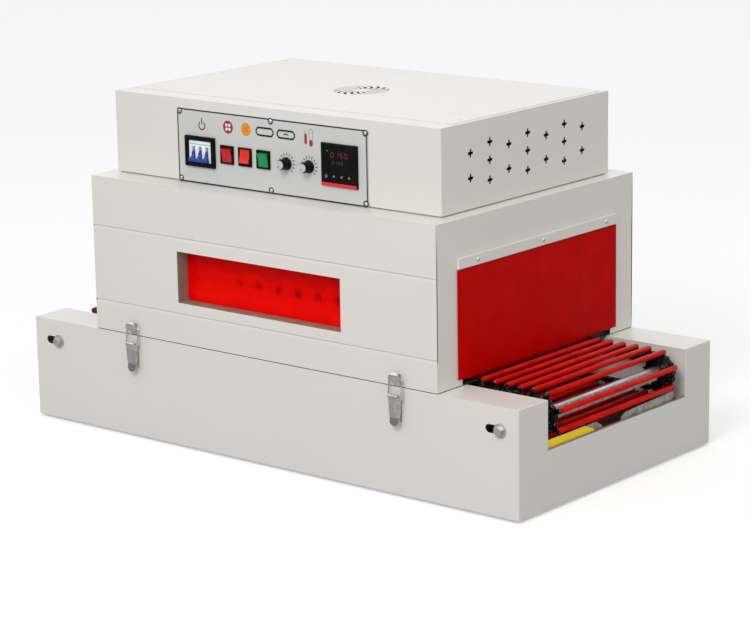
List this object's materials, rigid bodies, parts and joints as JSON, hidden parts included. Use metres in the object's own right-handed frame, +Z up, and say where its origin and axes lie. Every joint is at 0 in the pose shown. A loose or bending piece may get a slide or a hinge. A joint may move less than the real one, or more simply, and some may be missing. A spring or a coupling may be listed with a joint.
{
  "type": "heat shrink tunnel",
  "caption": "Tabletop heat shrink machine: a chain conveyor of red sleeved rollers through a hooded tunnel with curtains, a side window, draw latches and a vented control box with its panel.",
  "frame": {"origin": "middle of the footprint, on the surface that the feet stand on", "axes": "+X along the conveyor from the left to the right end, +Y from the operator's side to the back, +Z up"},
  "size_m": [1.0046, 0.5406, 0.5616],
  "materials": {
    "cream_paint": "semi-gloss warm white powder coat",
    "galvanised_sheet": "plain zinc-coated sheet",
    "foot_rubber": "matt black rubber",
    "bright_steel": "turned bright steel",
    "chain_steel": "oiled steel link plates",
    "red_silicone_sleeve": "smooth red silicone sleeve",
    "zinc_hardware": "zinc-plated hexagon bolts",
    "liner_steel": "bare sheet facing the heat",
    "red_glass": "red-tinted heat-proof glass",
    "quartz_tube": "quartz tube with ceramic ends",
    "red_curtain": "smooth red silicone sheet",
    "panel_grey": "light grey printed plate",
    "black_plastic": "fine-grained black plastic",
    "white_plastic": "white moulded breaker face",
    "blue_plastic": "blue moulded lever",
    "red_plastic": "translucent red rocker",
    "orange_plastic": "translucent orange rocker",
    "green_plastic": "translucent green rocker",
    "knob_plastic": "black knob with a pale cap",
    "chrome_plate": "bright plated steel"
  },
  "bodies": {
    "cabinet": {"breaker_body": "white_plastic", "breaker_frame": "black_plastic", "chain_rails": "galvanised_sheet", "chain_tray": "galvanised_sheet", "chamber_liner": "liner_steel", "control_box_lid": "cream_paint", "control_box_shell": "cream_paint", "control_panel": "panel_grey", "conveyor_rollers": "red_silicone_sleeve", "conveyor_shafts": "bright_steel", "curtain_strips": "cream_paint", "feet": "foot_rubber", "floor_pan": "galvanised_sheet", "front_chain": "chain_steel", "front_side_channel": "cream_paint", "heater_tubes": "quartz_tube", "hood_front_wall": "cream_paint", "hood_left_end_wall": "cream_paint", "hood_rear_wall": "cream_paint", "hood_right_end_wall": "cream_paint", "hood_roof": "cream_paint", "latch_bases": "chrome_plate", "latch_catches": "chrome_plate", "left_end_plate": "cream_paint", "rear_chain": "chain_steel", "rear_latch_bails": "chrome_plate", "rear_latch_levers": "chrome_plate", "rear_side_channel": "cream_paint", "right_end_plate": "cream_paint", "rocker_bezels": "black_plastic", "shaft_bolts": "zinc_hardware", "sprockets": "bright_steel", "temperature_controller": "black_plastic", "window_frame": "cream_paint", "window_glass": "red_glass"},
    "left_curtain": {"left_curtain": "red_curtain"},
    "right_curtain": {"right_curtain": "red_curtain"},
    "breaker_lever": {"breaker_handle": "blue_plastic"},
    "fan_switch": {"fan_rocker": "red_plastic"},
    "heater_switch": {"heater_rocker": "orange_plastic"},
    "conveyor_switch": {"conveyor_rocker": "green_plastic"},
    "speed_dial": {"speed_knob": "knob_plastic"},
    "fan_dial": {"fan_knob": "knob_plastic"},
    "left_lever": {"left_latch_lever": "chrome_plate"},
    "right_lever": {"right_latch_lever": "chrome_plate"},
    "left_bail": {"left_latch_bail": "chrome_plate"},
    "right_bail": {"right_latch_bail": "chrome_plate"}
  },
  "joints": [
    {"name": "right_curtain_swing", "type": "hinge", "parent": "cabinet", "child": "right_curtain", "pos_m": [0.35023, 0, 0.3505], "axis": [0, -1, 0], "range_deg": [0, 80]},
    {"name": "left_curtain_swing", "type": "hinge", "parent": "cabinet", "child": "left_curtain", "pos_m": [-0.35827, 0, 0.3505], "axis": [0, 1, 0], "range_deg": [0, 80]},
    {"name": "breaker_lever_turn", "type": "hinge", "parent": "cabinet", "child": "breaker_lever", "pos_m": [-0.15327, -0.2107, 0.47495], "axis": [-1, 0, 0], "range_deg": [0, 70]},
    {"name": "fan_switch_tilt", "type": "hinge", "parent": "cabinet", "child": "fan_switch", "pos_m": [-0.09707, -0.2092, 0.4795], "axis": [-1, 0, 0], "range_deg": [0, 24]},
    {"name": "heater_switch_tilt", "type": "hinge", "parent": "cabinet", "child": "heater_switch", "pos_m": [-0.05947, -0.2092, 0.4795], "axis": [1, 0, 0], "range_deg": [0, 24]},
    {"name": "conveyor_switch_tilt", "type": "hinge", "parent": "cabinet", "child": "conveyor_switch", "pos_m": [-0.02137, -0.2092, 0.4795], "axis": [-1, 0, 0], "range_deg": [0, 24]},
    {"name": "speed_dial_turn", "type": "hinge", "parent": "cabinet", "child": "speed_dial", "pos_m": [0.02543, -0.2192, 0.4781], "axis": [0, -1, 0], "range_deg": [-150, 150]},
    {"name": "fan_dial_turn", "type": "hinge", "parent": "cabinet", "child": "fan_dial", "pos_m": [0.07093, -0.2192, 0.4781], "axis": [0, -1, 0], "range_deg": [-150, 150]},
    {"name": "left_lever_swing", "type": "hinge", "parent": "cabinet", "child": "left_lever", "pos_m": [-0.27157, -0.2637, 0.1585], "axis": [-1, 0, 0], "range_deg": [0, 150]},
    {"name": "left_bail_turn", "type": "hinge", "parent": "left_lever", "child": "left_bail", "pos_m": [-0.27157, -0.2637, 0.1553], "axis": [-1, 0, 0], "range_deg": [-150, 0]},
    {"name": "right_lever_swing", "type": "hinge", "parent": "cabinet", "child": "right_lever", "pos_m": [0.27393, -0.2637, 0.1585], "axis": [-1, 0, 0], "range_deg": [0, 150]},
    {"name": "right_bail_turn", "type": "hinge", "parent": "right_lever", "child": "right_bail", "pos_m": [0.27393, -0.2637, 0.1553], "axis": [-1, 0, 0], "range_deg": [-150, 0]}
  ],
  "couplings": [
    {"joint": "left_bail_turn", "follows": "left_lever_swing", "ratio": -1},
    {"joint": "right_bail_turn", "follows": "right_lever_swing", "ratio": -1}
  ]
}
